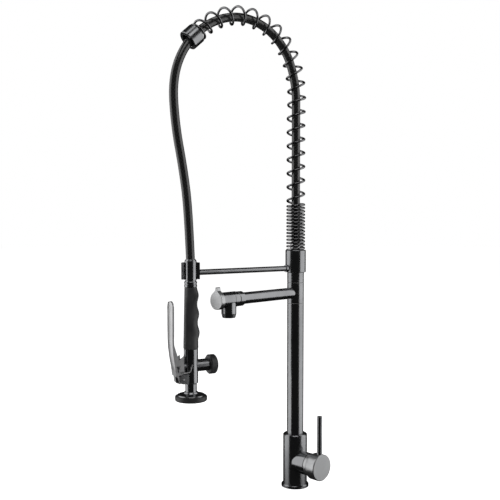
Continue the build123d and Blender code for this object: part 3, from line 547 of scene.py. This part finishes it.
def grip_radius(height, angle):
    """The grip's radius: a taper, three finger swells on the column's side, and rounded ends."""
    share = (height - GRIP_LOW) / (GRIP_HIGH - GRIP_LOW)
    radius = GRIP_LOW_R + (GRIP_HIGH_R - GRIP_LOW_R) * share
    inner = max(0.0, -math.cos(angle)) ** 1.4
    for centre in BUMP_HEIGHTS:
        off = abs(height - centre) / BUMP_HALF
        if off < 1:
            radius += BUMP * inner * (0.5 + 0.5 * math.cos(math.pi * off))
    end = min(height - GRIP_LOW, GRIP_HIGH - height)
    if end < GRIP_EDGE:
        radius -= GRIP_EDGE - math.sqrt(max(0.0, GRIP_EDGE**2 - (GRIP_EDGE - end) ** 2))
    return radius


def make_grip():
    heights = [GRIP_LOW, GRIP_LOW + 0.0002, GRIP_LOW + 0.0006]
    heights += [GRIP_LOW + (GRIP_HIGH - GRIP_LOW) * i / GRIP_RINGS for i in range(2, GRIP_RINGS - 1)]
    heights += [GRIP_HIGH - 0.0006, GRIP_HIGH - 0.0002, GRIP_HIGH]
    rings = [(height, None) for height in heights] + [(GRIP_HIGH, HANDLE_R), (GRIP_LOW, HANDLE_R)]
    vertices = []
    for height, fixed in rings:
        for step in range(GRIP_AROUND):
            angle = 2 * math.pi * step / GRIP_AROUND
            radius = grip_radius(height, angle) if fixed is None else fixed
            vertices.append(in_arm(REACH + radius * math.cos(angle), height, radius * math.sin(angle)))
    faces = tube_faces(len(rings), GRIP_AROUND)[:-2]
    last = (len(rings) - 1) * GRIP_AROUND
    for step in range(GRIP_AROUND):
        after = (step + 1) % GRIP_AROUND
        faces.append((last + step, last + after, after, step))
    grip = add_mesh("finger_grip", vertices, faces, MATERIALS["grip_rubber"], "hand_spray")
    shade_smooth(grip, 50)
    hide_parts("grip")


# ---------------------------------------------------------------- bonnet's ribs

BONNET_R = 0.0185
VALVE_Z = 0.263
RIB_INWARD = 0.0424
RIB_LENGTH = 0.0095
RIB_COUNT = 36
RIB_SINK = 0.0003
RIB_RISE = 0.0004


def make_ribs(name, centre, axis, across, radius, length, count, material, body):
    """A ring of fine ribs along a turned piece, each a low ridge that sinks into the surface."""
    side = axis.cross(across)
    vertices, faces = [], []
    for index in range(count):
        angle = 2 * math.pi * index / count
        out = across * math.cos(angle) + side * math.sin(angle)
        flank = out.cross(axis) * radius * math.pi / count * 0.55
        first = len(vertices)
        for end in (-0.5, 0.5):
            base = centre + axis * length * end
            crest = centre + axis * length * end * 0.9
            vertices += [base + out * (radius - RIB_SINK) + flank, crest + out * (radius + RIB_RISE),
                         base + out * (radius - RIB_SINK) - flank]
        faces += [(first, first + 1, first + 4, first + 3), (first + 1, first + 2, first + 5, first + 4),
                  (first, first + 2, first + 1), (first + 3, first + 4, first + 5),
                  (first + 2, first, first + 3, first + 5)]
    return add_mesh(name, vertices, faces, material, body)


def make_bonnet_ribs():
    """The grip ribs round the valve's bonnet."""
    make_ribs("bonnet_ribs", in_arm(REACH - RIB_INWARD, VALVE_Z), ARM_DIR, ARM_SIDE, BONNET_R - RIB_RISE,
              RIB_LENGTH, RIB_COUNT, MATERIALS["black_plastic"], "hand_spray")


# ---------------------------------------------------------------- lever

LEVER_U = 0.041
LEVER_TOP = 0.387
LEVER_BEND_Z = 0.320
LEVER_BEND_R = 0.262
LEVER_FOOT = 0.2445
LEVER_THICK = 0.0013
LEVER_WIDE, LEVER_NARROW = 0.0118, 0.0092
LEVER_RINGS = 70
LEVER_TOP_RINGS = 15


def lever_middle(height):
    """How far the lever's strip stands from the hand spray's axis at a height."""
    if height >= LEVER_BEND_Z:
        return LEVER_U
    drop = LEVER_BEND_Z - height
    return LEVER_U - (LEVER_BEND_R - math.sqrt(LEVER_BEND_R**2 - drop**2))


def lever_half(height):
    """Half of the strip's width: rounded at the top, and a little narrower towards the hinge."""
    share = min(max((height - 0.245) / 0.09, 0), 1)
    half = LEVER_NARROW + (LEVER_WIDE - LEVER_NARROW) * share
    over = height - (LEVER_TOP - LEVER_WIDE)
    if over > 0:
        half = math.sqrt(max(LEVER_WIDE**2 - over**2, 1e-8))
    return half


def make_lever_cover():
    """The pressed strip that a hand squeezes, crowned across and rounded at its top."""
    heights = [LEVER_FOOT + (LEVER_TOP - LEVER_WIDE - LEVER_FOOT) * i / LEVER_RINGS
               for i in range(LEVER_RINGS)]
    top_step = math.pi / 2 / (LEVER_TOP_RINGS - 1)
    heights += [LEVER_TOP - LEVER_WIDE * (1 - math.sin(top_step * i)) for i in range(LEVER_TOP_RINGS)]
    across = [i / 4 - 1 for i in range(9)]
    vertices = []
    for height in heights:
        half = lever_half(height)
        middle = REACH + lever_middle(height)
        outer = [(side * half, LEVER_THICK + 0.0011 - 0.0010 * side**2) for side in across]
        inner = [(side * half, -LEVER_THICK - 0.0002 - 0.0006 * side**2) for side in reversed(across)]
        for aside, out in outer + inner:
            vertices.append(in_arm(middle + out, height, aside))
    strip = add_mesh("squeeze_strip", vertices, tube_faces(len(heights), 18),
                     MATERIALS["bright_steel"], "lever")
    bevel = strip.modifiers.new("rounding", "BEVEL")
    bevel.width = 0.0006
    bevel.segments = 2
    bevel.limit_method = "ANGLE"
    shade_smooth(strip, 40)


make_camera()
make_set()
dress_nodes()
make_spring(*make_hose())
make_grip()
make_lever_cover()
make_bonnet_ribs()
